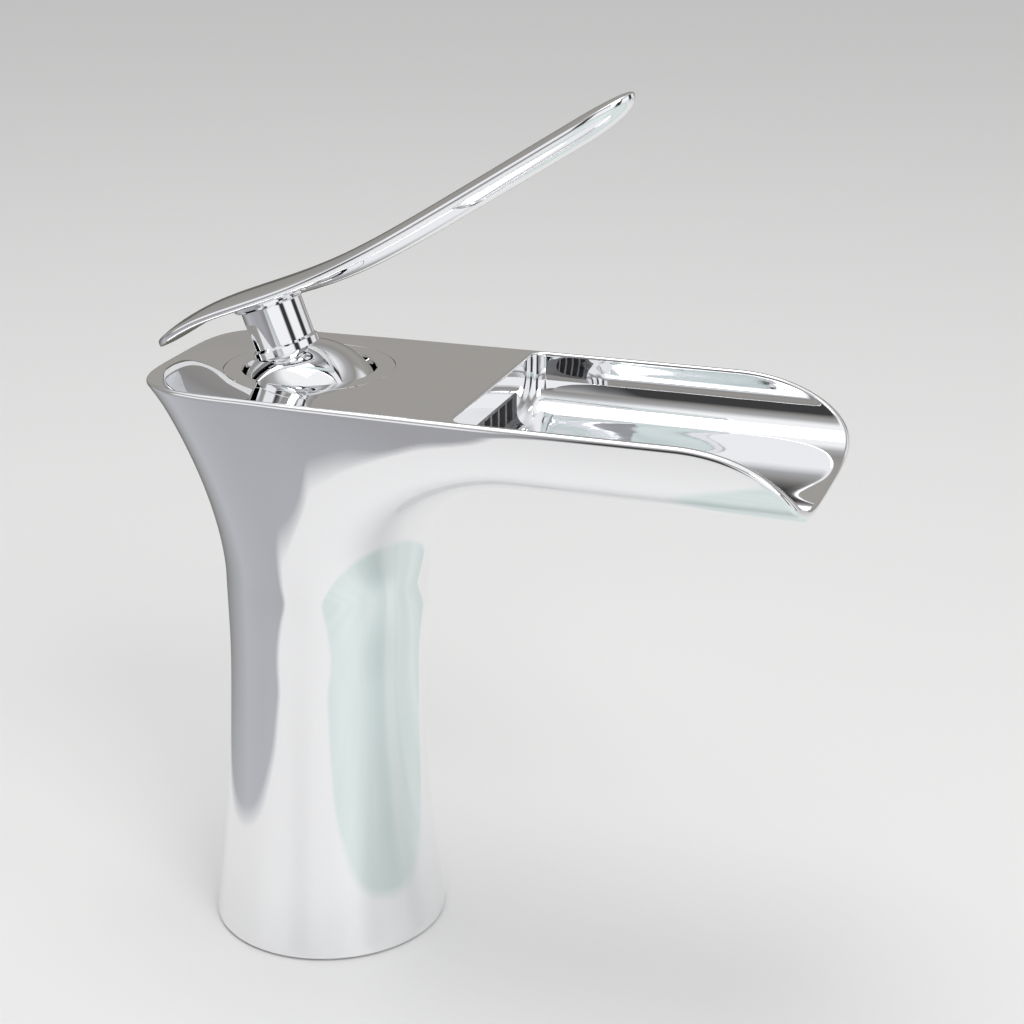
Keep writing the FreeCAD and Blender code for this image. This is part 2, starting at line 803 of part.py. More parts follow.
PORTS = (
    ("cold", "inlet_x", "port_offset", "channel_radius"),
    ("hot", "inlet_x", "-port_offset", "channel_radius"),
    ("mixed", "cartridge_x + port_offset", "0", "outlet_port_radius"),
)


def port_holes(label, thick, z, less="0"):
    """One hole on each of the three water ways."""
    return [
        cylinder(f"{label}_{name}", f"{radius} - {less}", thick, x, y, z)
        for name, x, y, radius in PORTS
    ]


seals = [
    tube(f"{name}_seal", f"{radius} + seal_wall", radius, "seal_thick", x, y, "seat_height")
    for name, x, y, radius in PORTS
]
port_seals = doc.addObject("Part::Compound", "port_seals")
port_seals.Links = seals

floor_blank = turned(
    "floor_blank",
    [
        ("0", "seat_height"),
        ("cartridge_radius", "seat_height"),
        ("cartridge_radius", "seat_height + floor_rim"),
        ("cartridge_radius - housing_wall", "seat_height + floor_rim"),
        ("cartridge_radius - housing_wall", "seat_height + floor_thick"),
        ("0", "seat_height + floor_thick"),
    ],
)
seal_pockets = [
    cylinder(f"{name}_seal_pocket", f"{radius} + seal_wall", "seal_thick", x, y, "seat_height")
    for name, x, y, radius in PORTS
]
cartridge_floor = cut_from(
    "cartridge_floor", floor_blank, port_holes("floor", "floor_thick", "seat_height", "0.2") + seal_pockets
)

floor_top = "( seat_height + floor_thick )"
disc_seal = cut_from(
    "disc_seal",
    cylinder("disc_seal_blank", "fixed_disc_radius - 0.5", "seal_thick", AXIS, "0", floor_top),
    port_holes("disc_seal", "seal_thick", floor_top, "0.2"),
)
disc_bottom = "( seat_height + floor_thick + seal_thick )"
fixed_disc = cut_from(
    "fixed_disc",
    cylinder("fixed_disc_blank", "fixed_disc_radius", "fixed_disc_thick", AXIS, "0", disc_bottom),
    port_holes("fixed_disc", "fixed_disc_thick", disc_bottom, "0.4"),
)

# the moving disc and its carrier are drawn slid forwards, where the raised lever holds them
TRAVEL = "arm_length * sin( lever_lift )"
slid_x = f"( cartridge_x + {TRAVEL} / 2 )"
moving_bottom = "( seat_height + floor_thick + seal_thick + fixed_disc_thick + running_gap )"
moving_disc = cut_from(
    "moving_disc",
    cylinder("moving_disc_blank", "moving_disc_radius", "moving_disc_thick", slid_x, "0", moving_bottom),
    [cylinder("mixing_chamber", "moving_cavity_radius", "moving_cavity_deep", slid_x, "0", moving_bottom)],
)
carrier_bottom = f"( {moving_bottom} + moving_disc_thick )"
carrier_slot = box(
    "carrier_slot",
    ("( arm_ball + arm_ball_gap ) * 2", "( arm_ball + arm_ball_gap ) * 2", "carrier_thick"),
    (f"cartridge_x + {TRAVEL} - arm_ball - arm_ball_gap", "-arm_ball - arm_ball_gap", carrier_bottom),
)
disc_carrier = cut_from(
    "disc_carrier",
    cylinder("carrier_blank", "moving_disc_radius", "carrier_thick", slid_x, "0", carrier_bottom),
    [carrier_slot],
)

cartridge_housing = turned(
    "cartridge_housing",
    [
        ("cartridge_radius - housing_wall", "seat_height + floor_rim"),
        ("cartridge_radius", "seat_height + floor_rim"),
        ("cartridge_radius", "shoulder_height"),
        ("neck_outer", "shoulder_height"),
        ("neck_outer", "housing_top - 0.5"),
        ("neck_outer - 0.5", "housing_top"),
        ("neck_inner", "housing_top"),
        ("neck_inner", "ceiling_height"),
        ("cartridge_radius - housing_wall", "ceiling_height"),
    ],
)

rotor_blank = turned(
    "rotor_blank",
    [
        ("0", "ceiling_height - 0.1 - rotor_flange_thick"),
        ("rotor_flange_radius", "ceiling_height - 0.1 - rotor_flange_thick"),
        ("rotor_flange_radius", "ceiling_height - 0.1"),
        ("rotor_radius", "ceiling_height - 0.1"),
        ("rotor_radius", "rotor_top - 0.6"),
        ("rotor_radius - 0.6", "rotor_top"),
        ("0", "rotor_top"),
    ],
)
rotor_slot = box(
    "rotor_slot",
    ("rotor_slot_rear + rotor_slot_front", "rotor_slot_half * 2", "rotor_top - ceiling_height + 6"),
    ("cartridge_x - rotor_slot_rear", "-rotor_slot_half", "ceiling_height - 4"),
)
SIDEWAYS = Vector(-1, 0, 0)
turntable = cut_from(
    "turntable",
    rotor_blank,
    [
        rotor_slot,
        cylinder("rotor_pin_hole", "pin_radius", "rotor_radius * 2 + 2", AXIS,
                 "-rotor_radius - 1", "pivot_height", "90", SIDEWAYS),
    ],
)
pivot_pin = cylinder("pivot_pin", "pin_radius", "pin_half_length * 2", AXIS,
                     "-pin_half_length", "pivot_height", "90", SIDEWAYS)

# ---- lever group, drawn upright about the pivot and then leant back ------------------


def ball(name, radius, x="0", z="0"):
    item = doc.addObject("Part::Sphere", name)
    bind(item, "Radius", radius)
    bind(item, "Placement.Base.x", x)
    bind(item, "Placement.Base.z", z)
    return item


dome = ball("ball_outer", "ball_radius")
bind(dome, "Angle1", "ball_skirt_angle")
ball_bore = cylinder("ball_bore", "ball_bore_radius", "ball_bore_deep + ball_radius", "0", "0",
                     "-ball_radius")
spigot_hole = cylinder("ball_spigot_hole", "spigot_radius + 0.05", "ball_radius", "0", "0", "5")
ball_cap = lean_back(cut_from("ball_cap", dome, [ball_bore, spigot_hole]))

spindle_bar = doc.addObject("Part::MultiFuse", "spindle_bar")
spindle_bar.Shapes = [
    box("spindle_square", ("spindle_half * 2", "spindle_half * 2", "spindle_top + 3.5"),
        ("-spindle_half", "-spindle_half", "-3.5")),
    cylinder("spindle_arm", "arm_radius", "arm_length - 3", "0", "0", "-arm_length"),
    ball("spindle_ball", "arm_ball", "0", "-arm_length"),
]
spindle = lean_back(
    cut_from(
        "spindle",
        spindle_bar,
        [cylinder("spindle_eye", "pin_radius + running_gap", "spindle_half * 2 + 2", "0",
                  "-spindle_half - 1", "0", "90", SIDEWAYS)],
    )
)


def softened(x, soft):
    """0 far below zero and x far above it, with a smooth turn between."""
    return soft * math.log(1.0 + math.exp(x / soft))


def blade_half_width(x):
    stem = size("blade_half_width")
    front = size("blade_front_half_width")
    narrow = math.tanh((x - size("blade_narrow_x")) / size("blade_narrow_soft"))
    width = front + (stem - front) * (1.0 - narrow) / 2
    rear = size("blade_rear") + size("blade_rear_round") - x
    tip = x - size("blade_tip") + size("blade_tip_round")
    ends = superellipse(rear, size("blade_rear_round"), 2.3)
    ends *= superellipse(tip, size("blade_tip_round"), 2.0)
    return width * ends, ends


def blade_edge_height(x):
    """Level of the blade's rim: flat over the stem, rising in front, drooping behind."""
    rise = size("blade_slope") * softened(x - size("blade_bend_x"), size("blade_bend_soft"))
    droop = size("blade_droop_slope")
    droop *= softened(size("blade_droop_x") - x, size("blade_droop_soft"))
    return size("blade_height") + rise - droop


def arch(x, width, rim, tall):
    """Five points of a low arch across the blade, from one rim to the other."""
    points = []
    for share in (-1.0, -0.55, 0.0, 0.55, 1.0):
        points.append(Vector(x, width * share, rim + tall * (1.0 - share**2)))
    return points


def blade_solid(stations):
    """Crowned top, narrow upright rim and rounded belly, closed flat at both ends."""
    tops = []
    bellies = []
    for x in stations:
        width, ends = blade_half_width(x)
        rim = blade_edge_height(x)
        deepening = (size("blade_belly_x") - x) / size("blade_belly_soft")
        belly = size("blade_belly")
        belly += (size("blade_front_belly") - belly) / (1.0 + math.exp(deepening))
        half_rim = size("blade_rim") / 2 * ends**0.5
        tops.append(arch(x, width, rim + half_rim, size("blade_crown") * ends**0.8))
        bellies.append(arch(x, width, rim - half_rim, -belly * ends**0.8))
    surfaces = []
    for rows in (tops, bellies):
        surface = Part.BSplineSurface()
        surface.interpolate(rows)
        surfaces.append(surface)
    top, belly = surfaces
    first, last, low, high = top.bounds()
    belly_first, belly_last, belly_low, belly_high = belly.bounds()
    faces = []
    for surface, rows in ((top, tops), (belly, bellies)):
        begin, end, side, other = surface.bounds()
        inner = [surface.parameter(rows[i][2])[0] for i in BLADE_BREAKS]
        faces += patched(surface, [begin] + inner + [end], side, other)
    for above, below in ((low, belly_low), (high, belly_high)):
        faces.append(
            Part.makeRuledSurface(top.vIso(above).toShape(), belly.vIso(below).toShape())
        )
    for i, station in ((0, first), (-1, last)):
        belly_station = belly_last if i else belly_first
        edges = [top.uIso(station).toShape(), belly.uIso(belly_station).toShape()]
        for side in (0, -1):
            edges.append(Part.LineSegment(tops[i][side], bellies[i][side]).toShape())
        faces.append(Part.Face(Part.Wire(Part.__sortEdges__(edges))))
    shell = Part.makeShell(faces)
    shell.sewShape(1e-4)
    return Part.makeSolid(shell)


BLADE_BREAKS = (1, 2, 3, 5, 8, 10, 11, 12)
END_TURNS = (0.1, 0.5, 0.9, 1.3)
stations = [size("blade_rear") + size("blade_rear_round") * (1 - math.cos(t)) for t in END_TURNS]
middle = size("blade_rear") + size("blade_rear_round")
middle_long = size("blade_tip") - size("blade_tip_round") - middle
stations += [middle + middle_long * share for share in (0.1, 0.24, 0.38, 0.52, 0.7, 0.88)]
stations += [
    size("blade_tip") - size("blade_tip_round") * (1 - math.cos(t)) for t in reversed(END_TURNS)
]
blade_form = doc.addObject("Part::Feature", "blade_form")
blade_form.Shape = blade_solid(stations)
lever_blade = doc.addObject("Part::Compound", "lever_blade")
lever_blade.Links = [blade_form]
lean_back(lever_blade)

stem_blank = turned(
    "stem_blank",
    [
        ("0", "ball_radius - 3"),
        ("stem_bead_radius", "ball_radius - 3"),
        ("stem_bead_radius", "stem_bead_top - 0.5"),
        ("stem_radius", "stem_bead_top"),
        ("stem_radius", "stem_collar_from - 0.3"),
        ("stem_collar_radius - 0.4", "stem_collar_from"),
        ("stem_collar_radius", "stem_collar_from + 0.4"),
        ("stem_collar_radius", "stem_top"),
        ("0", "stem_top"),
    ],
    "0",
)
seated = cut_from("stem_seated", stem_blank, [ball("stem_seat", "ball_radius"), blade_form])
stem_solid = doc.addObject("Part::MultiFuse", "stem_solid")
stem_solid.Shapes = [
    seated,
    cylinder("stem_spigot", "spigot_radius", "5", "0", "0", "spigot_bottom"),
]
stem_socket = box(
    "stem_socket",
    ("spindle_half * 2 + 0.1", "spindle_half * 2 + 0.1", "spindle_top - spigot_bottom + 1.2"),
    ("-spindle_half - 0.05", "-spindle_half - 0.05", "spigot_bottom - 1"),
)
screw_hole = cylinder("stem_screw_hole", "screw_radius", "stem_radius", "-stem_radius - 0.5", "0",
                      "screw_height", "90")
lever_stem = lean_back(cut_from("lever_stem", stem_solid, [stem_socket, screw_hole]))

screw_socket = doc.addObject("Part::Prism", "screw_socket")
screw_socket.Polygon = 6
screw_socket.Placement = Placement(Vector(0, 0, 0), Rotation(Vector(0, 1, 0), 90))
bind(screw_socket, "Circumradius", "screw_radius / 2")
bind(screw_socket, "Height", "screw_length / 2")
bind(screw_socket, "Placement.Base.x", "-spindle_half - screw_length")
bind(screw_socket, "Placement.Base.z", "screw_height")
set_screw = lean_back(
    cut_from(
        "set_screw",
        cylinder("set_screw_blank", "screw_radius", "screw_length", "-spindle_half - screw_length",
                 "0", "screw_height", "90"),
        [screw_socket],
    )
)

# ---- write the parts -----------------------------------------------------------------

PIECES = [
    tap_body, base_gasket, mounting_stud, clamp_gasket, clamp_plate, stud_nut,
    bezel_ring, cartridge_nut, outlet_insert,
    port_seals, cartridge_floor, disc_seal, fixed_disc, moving_disc, disc_carrier,
    cartridge_housing, turntable, pivot_pin,
    ball_cap, spindle, lever_blade, lever_stem, set_screw,
]
doc.recompute()
for item in doc.Objects:
    if "Invalid" in item.State or "Error" in item.State:
        raise ValueError(f"{item.Name} failed")
for piece in PIECES:
    if piece.Shape.isNull() or not piece.Shape.isValid():
        raise ValueError(f"{piece.Label} has no valid shape")
    piece.Shape.exportStep(f"parts/{piece.Label}.step")
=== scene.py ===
import bmesh
import bpy
import numpy as np
from mathutils import Matrix, Vector


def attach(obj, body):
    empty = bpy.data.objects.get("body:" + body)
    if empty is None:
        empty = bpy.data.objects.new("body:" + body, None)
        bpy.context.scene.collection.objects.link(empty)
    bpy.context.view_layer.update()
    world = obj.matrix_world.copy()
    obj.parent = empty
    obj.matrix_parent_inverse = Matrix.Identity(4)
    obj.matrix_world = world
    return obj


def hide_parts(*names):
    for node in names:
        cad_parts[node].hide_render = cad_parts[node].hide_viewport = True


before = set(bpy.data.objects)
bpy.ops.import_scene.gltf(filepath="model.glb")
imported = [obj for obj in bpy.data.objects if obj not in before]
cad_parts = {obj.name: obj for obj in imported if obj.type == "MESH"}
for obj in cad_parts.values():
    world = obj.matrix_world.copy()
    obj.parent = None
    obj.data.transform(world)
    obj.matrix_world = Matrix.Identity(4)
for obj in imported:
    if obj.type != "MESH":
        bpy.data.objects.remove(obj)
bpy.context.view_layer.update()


# ---- camera --------------------------------------------------------------------------
# It stands where the photograph was taken from, to the faucet's side and a little above.

CAMERA_AZIMUTH = np.radians(18.941)
CAMERA_PITCH = np.radians(20.177)
CAMERA_PLACE = (0.168309, -0.368679, 0.239084)
LENS = 73.67
SENSOR_WIDTH = 36.0

right = Vector((np.cos(CAMERA_AZIMUTH), np.sin(CAMERA_AZIMUTH), 0.0))
ahead = Vector(
    (
        -np.sin(CAMERA_AZIMUTH) * np.cos(CAMERA_PITCH),
        np.cos(CAMERA_AZIMUTH) * np.cos(CAMERA_PITCH),
        -np.sin(CAMERA_PITCH),
    )
)
turned = Matrix((right, right.cross(ahead), -ahead)).transposed().to_4x4()
camera = bpy.data.objects.new("camera", bpy.data.cameras.new("camera"))
camera.data.lens = LENS
camera.data.sensor_width = SENSOR_WIDTH
camera.matrix_world = Matrix.Translation(CAMERA_PLACE) @ turned
bpy.context.scene.collection.objects.link(camera)
bpy.context.scene.camera = camera
bpy.context.scene.view_settings.view_transform = "Standard"


# ---- studio --------------------------------------------------------------------------
# A plain pale floor under two soft lamps. Polished chrome shows little but what is round
# it, so in reflections only, the floor turns grey from 80 mm behind the faucet on and a
# faint streaked green from 55 mm in front of it.

FLOOR_HALF = 3.0
PALE = (0.87, 0.87, 0.865, 1.0)
GREY_FROM = -0.080
GREY_BLEND = 0.006
GREY_ACROSS = 0.3
GREEN_FROM = 0.055
GREEN_BLEND = 0.004
GREEN_SIDE = (0.150, 0.156)
STREAKS = 16.0

floor = bpy.data.objects.new("floor", bpy.data.meshes.new("floor"))
floor_corners = [
    (x * FLOOR_HALF, y * FLOOR_HALF, 0) for x, y in ((-1, -1), (1, -1), (1, 1), (-1, 1))
]
floor.data.from_pydata(floor_corners, [], [(0, 1, 2, 3)])
floor_material = bpy.data.materials.new("floor_paint")
floor_material.use_nodes = True
nodes = floor_material.node_tree.nodes
links = floor_material.node_tree.links
nodes["Principled BSDF"].inputs["Roughness"].default_value = 0.45
place = nodes.new("ShaderNodeTexCoord")
axes = nodes.new("ShaderNodeSeparateXYZ")
links.new(place.outputs["Object"], axes.inputs[0])


def ramp(value, stops):
    """Ramp node over a value: stops (position, colour), with alpha 1 unless it is given."""
    made = nodes.new("ShaderNodeValToRGB")
    elements = made.color_ramp.elements
    for element, (at, _) in zip(elements, (stops[0], stops[-1])):
        element.position = at
    for at, _ in stops[1:-1]:
        elements.new(at)
    for element, (_, colour) in zip(elements, stops):
        element.color = colour if len(colour) == 4 else (*colour, 1.0)
    links.new(value, made.inputs[0])
    return made


def ranged(value, low, high):
    """A value mapped from low..high to 0..1."""
    made = nodes.new("ShaderNodeMapRange")
    made.inputs["From Min"].default_value = low
    made.inputs["From Max"].default_value = high
    links.new(value, made.inputs["Value"])
    return made.outputs["Result"]


def mix(factor, first, second):
    """Two colours, sockets or plain values, mixed by a socket."""
    made = nodes.new("ShaderNodeMixRGB")
    links.new(factor, made.inputs[0])
    for slot, colour in ((1, first), (2, second)):
        if isinstance(colour, tuple):
            made.inputs[slot].default_value = colour
        else:
            links.new(colour, made.inputs[slot])
    return made.outputs[0]


grey = ramp(
    ranged(axes.outputs["Y"], -GREY_ACROSS, GREY_ACROSS),
    [(0.05, (0.34, 0.34, 0.36)), (0.45, (0.50, 0.51, 0.54)), (0.66, (0.30, 0.30, 0.30)),
     (0.85, (0.12, 0.115, 0.095))],
).outputs[0]
streaks = nodes.new("ShaderNodeTexNoise")
streaks.noise_dimensions = "1D"
streaks.inputs["Scale"].default_value = STREAKS
links.new(axes.outputs["Y"], streaks.inputs["W"])
green = ramp(
    streaks.outputs["Fac"], [(0.30, (0.62, 0.72, 0.695)), (0.70, (0.77, 0.835, 0.82))]
).outputs[0]
behind = mix(ranged(axes.outputs["X"], GREY_FROM - GREY_BLEND, GREY_FROM + GREY_BLEND), grey, PALE)
in_front = mix(ranged(axes.outputs["Y"], *GREEN_SIDE), green, PALE)
reflected = mix(
    ranged(axes.outputs["X"], GREEN_FROM - GREEN_BLEND, GREEN_FROM + GREEN_BLEND), behind, in_front
)
seen = nodes.new("ShaderNodeLightPath")
links.new(
    mix(seen.outputs["Is Glossy Ray"], PALE, reflected),
    nodes["Principled BSDF"].inputs["Base Color"],
)
floor.data.materials.append(floor_material)
bpy.context.scene.collection.objects.link(floor)

# the world: greys by height, light overhead, and upright panels round the horizon, which
# the small turned pieces show as stripes. To the camera it is a plain pale backdrop.
BACKDROP = (0.80, 0.79, 0.775, 1.0)
HEIGHTS = [(0.0, (0.30, 0.29, 0.28)), (0.30, (0.36, 0.345, 0.325)), (0.55, (0.30, 0.29, 0.28)),
           (0.70, (0.42, 0.42, 0.43)), (0.84, (0.96, 0.96, 0.97))]
# bearing in degrees from +X, tone, and cover: 0 where there is no panel
PANELS = [(-150, 0.30, 0), (-142, 0.90, 1), (-112, 0.90, 1), (-106, 0.05, 1), (-92, 0.05, 1),
          (-86, 0.95, 1), (-40, 0.95, 1), (-34, 0.04, 1), (-22, 0.04, 1), (-16, 0.95, 1),
          (14, 0.95, 1), (20, 0.04, 1), (34, 0.04, 1), (40, 0.80, 1), (62, 0.80, 1), (72, 0.30, 0)]
PANEL_BLUE = 1.02
PANEL_TOP = (0.40, 0.55)

world = bpy.data.worlds.new("studio")
bpy.context.scene.world = world
world.use_nodes = True
nodes = world.node_tree.nodes
links = world.node_tree.links
place = nodes.new("ShaderNodeTexCoord")
axes = nodes.new("ShaderNodeSeparateXYZ")
links.new(place.outputs["Generated"], axes.inputs[0])
height = ramp(axes.outputs["Z"], HEIGHTS).outputs[0]
bearing = nodes.new("ShaderNodeMath")
bearing.operation = "ARCTAN2"
links.new(axes.outputs["Y"], bearing.inputs[0])
links.new(axes.outputs["X"], bearing.inputs[1])
panels = ramp(
    ranged(bearing.outputs[0], -np.pi, np.pi),
    [((at + 180) / 360, (tone, tone, PANEL_BLUE * tone, cover)) for at, tone, cover in PANELS],
)
low_enough = ramp(
    axes.outputs["Z"], [(0.0, (1, 1, 1)), (PANEL_TOP[0], (1, 1, 1)), (PANEL_TOP[1], (0, 0, 0))]
).outputs[0]
covered = nodes.new("ShaderNodeMath")
covered.operation = "MULTIPLY"
links.new(low_enough, covered.inputs[0])
links.new(panels.outputs["Alpha"], covered.inputs[1])
around = mix(covered.outputs[0], height, panels.outputs["Color"])
seen = nodes.new("ShaderNodeLightPath")
links.new(mix(seen.outputs["Is Camera Ray"], around, BACKDROP), nodes["Background"].inputs[0])
nodes["Background"].inputs[1].default_value = 1.0

LIT_POINT = Vector((0.03, 0.0, 0.07))
for name, at, size, power in (
    ("key", (0.75, -0.65, 0.85), 0.5, 3.9),
    ("top", (-0.1, 0.05, 1.1), 0.6, 2.9),
):
    lamp = bpy.data.objects.new(name, bpy.data.lights.new(name, "AREA"))
    lamp.data.size = size
    lamp.data.energy = power
    lamp.location = at
    lamp.rotation_euler = (LIT_POINT - Vector(at)).to_track_quat("-Z", "Y").to_euler()
    bpy.context.scene.collection.objects.link(lamp)


# ---- gaskets and fixing below --------------------------------------------------------
# A rubber gasket under the base and another above the clamping plate, a zinc-plated stud
# screwed into the base, the stamped plate that it carries, and a turned brass nut.

wander = bpy.data.node_groups.new("wandering_finish", "ShaderNodeTree")
FINISH_INPUTS = {"Grain": 60.0, "Low": 0.02, "High": 0.05, "Wave": 40.0, "Depth": 0.0001}
for name, value in FINISH_INPUTS.items():
    socket = wander.interface.new_socket(name=name, in_out="INPUT", socket_type="NodeSocketFloat")
    socket.default_value = value
wander.interface.new_socket(name="Roughness", in_out="OUTPUT", socket_type="NodeSocketFloat")
wander.interface.new_socket(name="Normal", in_out="OUTPUT", socket_type="NodeSocketVector")
given = wander.nodes.new("NodeGroupInput")
made = wander.nodes.new("NodeGroupOutput")
where = wander.nodes.new("ShaderNodeTexCoord")
grain = wander.nodes.new("ShaderNodeTexNoise")
grain.inputs["Detail"].default_value = 4.0
spread = wander.nodes.new("ShaderNodeMapRange")
waves = wander.nodes.new("ShaderNodeTexNoise")
waves.inputs["Detail"].default_value = 1.0
relief = wander.nodes.new("ShaderNodeBump")
for a, b in (
    (where.outputs["Object"], grain.inputs["Vector"]),
    (given.outputs["Grain"], grain.inputs["Scale"]),
    (grain.outputs["Fac"], spread.inputs["Value"]),
    (given.outputs["Low"], spread.inputs["To Min"]),
    (given.outputs["High"], spread.inputs["To Max"]),
    (spread.outputs["Result"], made.inputs["Roughness"]),
    (where.outputs["Object"], waves.inputs["Vector"]),
    (given.outputs["Wave"], waves.inputs["Scale"]),
    (waves.outputs["Fac"], relief.inputs["Height"]),
    (given.outputs["Depth"], relief.inputs["Distance"]),
    (relief.outputs["Normal"], made.inputs["Normal"]),
):
    wander.links.new(a, b)


def finish(name, metallic, colour, *given_values):
    """Plain metallic and colour; the group lets the roughness wander and gives the relief.

    The given values are its inputs: grain, lowest and highest roughness, wave and depth.
    """
    material = bpy.data.materials.new(name)
    material.use_nodes = True
    shader = material.node_tree.nodes["Principled BSDF"]
    shader.inputs["Metallic"].default_value = metallic
    shader.inputs["Base Color"].default_value = (*colour, 1.0)
    group = material.node_tree.nodes.new("ShaderNodeGroup")
    group.node_tree = wander
    for socket, value in zip(FINISH_INPUTS, given_values):
        group.inputs[socket].default_value = value
    for output in ("Roughness", "Normal"):
        material.node_tree.links.new(group.outputs[output], shader.inputs[output])
    return material


def coat(material, *names):
    """Puts a finish on whole CAD nodes."""
    for name in names:
        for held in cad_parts[name].material_slots:
            held.material = material


rubber = finish("seal_rubber", 0.0, (0.030, 0.030, 0.032), 900.0, 0.65, 0.85, 2400.0, 0.00003)
zinc = finish("zinc_steel", 1.0, (0.62, 0.63, 0.65), 400.0, 0.24, 0.40, 1500.0, 0.00001)
brass = finish("brass_parts", 1.0, (0.78, 0.60, 0.30), 500.0, 0.18, 0.30, 1500.0, 0.00001)
coat(rubber, "base_gasket", "clamp_gasket")
coat(zinc, "mounting_stud", "clamp_plate")
coat(brass, "stud_nut")


# ---- cast body -----------------------------------------------------------------------
# One chrome-plated casting: a round waisted column that flares into a flat deck and runs
# out as an open trough. Its rims are softly rounded, which is what catches the light, and
# a polished casting is never quite flat, so its relief is long and shallow.

chrome = finish("chrome_body", 1.0, (0.92, 0.925, 0.935), 60.0, 0.01, 0.04, 38.0, 0.00022)
coat(chrome, "tap_body")

MM = 0.001

# rounds of the rims, as how far each reaches in from its edge
OUTER_RIM = 1.1
INNER_RIM = 0.6
FOOT_RIM = 0.5
RIM_WEIGHT = 0.72
SHARP_EDGE = np.radians(35)

# column, from its foot over the waist to the neck
BASE_LEVEL = 0.3
BASE_RADIUS = 25.0
WAIST_HEIGHT = 60.0
WAIST_RADIUS = 20.2
WAIST_POWER = 1.8
NECK_RADIUS = 20.9
NECK_LEAN = 1.6

# deck, and how the skin flares out to it
DECK = 121.8
DECK_REAR = 29.8
REAR_POWER = 2.1
REAR_EXTRA = 0.9
EXTRA_FROM = 0.85
EXTRA_OVER = 0.15
DECK_HALF_WIDTH = 25.6
WIDTH_POWER = 1.6
SQUARED_POWER = 1.5
BLEND_HALF = 8.0

# spout and trough
THROAT_RADIUS = 28.0
SPOUT_HALF_WIDTH = 26.6
SPOUT_TALL = 14.8
SPOUT_DEPTH = SPOUT_TALL + 0.4
SPOUT_POWER = 4.2
TIP_START = 80.8
TIP_LENGTH = 24.0
WALL = 1.8
TROUGH_BACK = 38.0
TROUGH_CORNER = 3.0
NECK = DECK - SPOUT_TALL - THROAT_RADIUS
THROAT_X = NECK_LEAN + NECK_RADIUS + THROAT_RADIUS
UNDERSIDE = DECK - SPOUT_TALL
TROUGH_FLOOR = UNDERSIDE + WALL
TOP = DECK - OUTER_RIM
TROUGH_TOP = DECK - INNER_RIM

# outlet slot
OUTLET_HALF_WIDTH = 14.0
OUTLET_LOW = TROUGH_FLOOR + 0.7
OUTLET_HIGH = TROUGH_FLOOR + 7.7
OUTLET_BACK = 26.0
OUTLET_FRONT = TROUGH_BACK + 3.5

# bore for the ring and the cartridge, and recess under the base, as steps (radius, level)
CARTRIDGE_X = -1.0
BORE = [(17.25, DECK), (17.25, 120.6), (17.0, 120.6), (17.0, 105.2), (14.0, 105.2),
        (14.0, 99.5), (12.6, 99.5), (12.6, 86.0), (0.0, 86.0)]
FOOT = [(23.6, 0.3), (23.6, 2.2), (20.6, 2.2), (20.6, 0.3), (20.0, 0.3), (20.0, 10.0),
        (0.0, 10.0)]

# fineness of the mesh
FRONT_POINTS = 46
REAR_POINTS = 42
COLUMN_ROWS = 46
FLARE_ROWS = 34
SIDE_ROWS = 30
SPOUT_ROWS = 18
TROUGH_ROWS = 22
CORNER_ROWS = 9
TIP_ROWS = 36
RIM_ROWS = 13
FOOT_ROWS = 6
OUTLINE_SAMPLES = 900
EDGE_SAMPLES = 3000
END_SAMPLES = 2000
SHORT_OF_LIP = 0.05


def superellipse(distance, reach, power):
    """(1 - (distance / reach)**power)**(1 / power), clamped to 0..1."""
    ratio = np.clip(distance / reach, 0.0, 1.0)
    return (1.0 - ratio**power) ** (1.0 / power)


def evenly(points, count):
    """The same polyline with count points, spaced evenly along it."""
    steps = np.linalg.norm(np.diff(points, axis=0), axis=1)
    along = np.concatenate([[0.0], np.cumsum(steps)])
    targets = np.linspace(0.0, along[-1], count)
    return np.stack([np.interp(targets, along, column) for column in points.T], -1)


def column_form(z):
    """Centre, reach to the rear, half width and power of the horizontal outline at level z.

    Up to the neck a circle of radius waist + (base - waist) low**WAIST_POWER about an axis
    that leans as z**2, low being the share of the way down to the foot; from waist to neck
    both go on as cubics that end upright, so that the skin has no crease there. Above it
    the rear flares as rise**REAR_POWER, with REAR_EXTRA more as a square over the last of
    the rise, the width as rise**WIDTH_POWER, and the power from 2 to 4.
    """
    if z <= NECK:
        low = 1.0 - min(z, WAIST_HEIGHT) / WAIST_HEIGHT
        high = max(z - WAIST_HEIGHT, 0.0) / (NECK - WAIST_HEIGHT)
        radius = WAIST_RADIUS + (BASE_RADIUS - WAIST_RADIUS) * low**WAIST_POWER
        radius += (NECK_RADIUS - WAIST_RADIUS) * high**2 * (3.0 - 2.0 * high)
        waist_lean = NECK_LEAN * (min(z, WAIST_HEIGHT) / NECK) ** 2
        slope = 2.0 * NECK_LEAN * WAIST_HEIGHT / NECK**2 * (NECK - WAIST_HEIGHT)
        centre = waist_lean + slope * high * (1.0 - high) ** 2
        centre += (NECK_LEAN - waist_lean) * high**2 * (3.0 - 2.0 * high)
        return centre, radius, radius, 2.0
    rise = (z - NECK) / (DECK - NECK)
    centre = NECK_LEAN * (1.0 - rise)
    rear = NECK_RADIUS - NECK_LEAN
    rear += (DECK_REAR - rear) * rise**REAR_POWER
    rear += REAR_EXTRA * max((rise - EXTRA_FROM) / EXTRA_OVER, 0.0) ** 2
    width = NECK_RADIUS + (DECK_HALF_WIDTH - NECK_RADIUS) * rise**WIDTH_POWER
    return centre, centre + rear, width, 2.0 + 2.0 * rise**SQUARED_POWER


